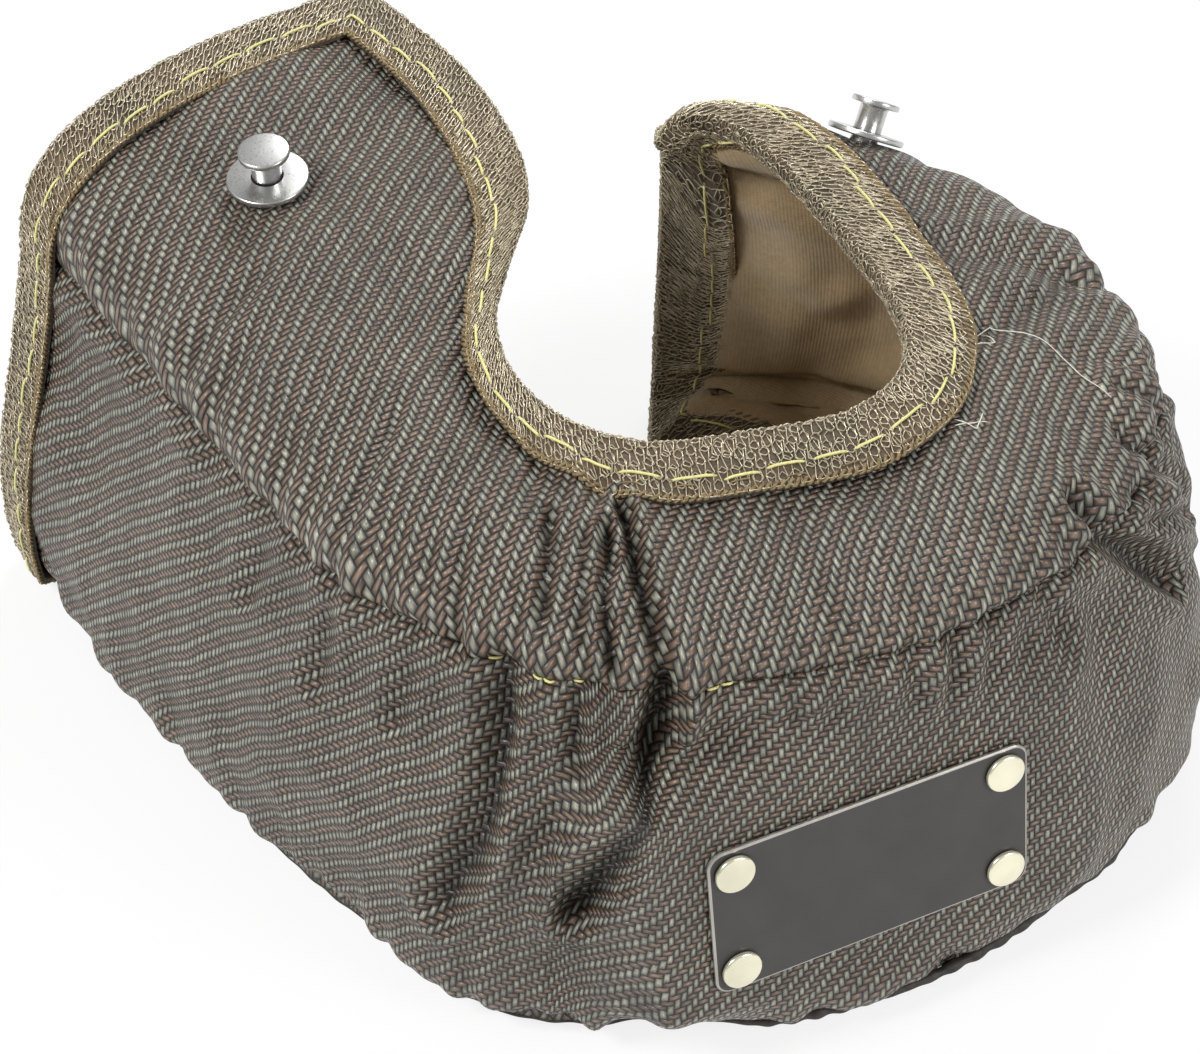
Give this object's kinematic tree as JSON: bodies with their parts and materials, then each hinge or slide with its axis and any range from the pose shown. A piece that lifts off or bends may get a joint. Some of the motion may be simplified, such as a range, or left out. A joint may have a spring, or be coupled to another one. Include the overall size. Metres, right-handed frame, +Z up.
{
  "type": "turbo heat blanket",
  "caption": "Padded heat cover, C-shaped in plan, that wraps a turbine housing and is laced shut over round-headed posts near its two open ends.",
  "frame": {"origin": "on the surface it lies on, under the middle of its box", "axes": "+X across the front to the right, +Z up through the throat"},
  "size_m": [0.2494, 0.203, 0.1156],
  "materials": {
    "twill": "2/2 twill of bronze-brown and grey-green mineral fibre tows, satin sheen",
    "insulation": "needled mineral fibre felt",
    "liner": "fine khaki satin weave",
    "edge_tape": "knitted wire mesh over khaki glass fibre tape",
    "anchor": "satin stainless steel",
    "plate": "matt charcoal, bare",
    "rivet": "bright nickel, flat cap"
  },
  "bodies": {
    "root": {"outer_top": "twill", "outer_side": "twill", "outer_bottom": "twill", "insulation_top": "insulation", "insulation_side": "insulation", "insulation_bottom": "insulation", "liner_top": "liner", "liner_side": "liner", "liner_bottom": "liner", "edge_binding": "edge_tape", "left_anchor_washer": "anchor", "left_anchor_post": "anchor", "left_anchor_back_washer": "anchor", "right_anchor_washer": "anchor", "right_anchor_post": "anchor", "right_anchor_back_washer": "anchor", "front_plate": "plate", "plate_rivet_1": "rivet", "plate_rivet_2": "rivet", "plate_rivet_3": "rivet", "plate_rivet_4": "rivet"}
  },
  "joints": []
}
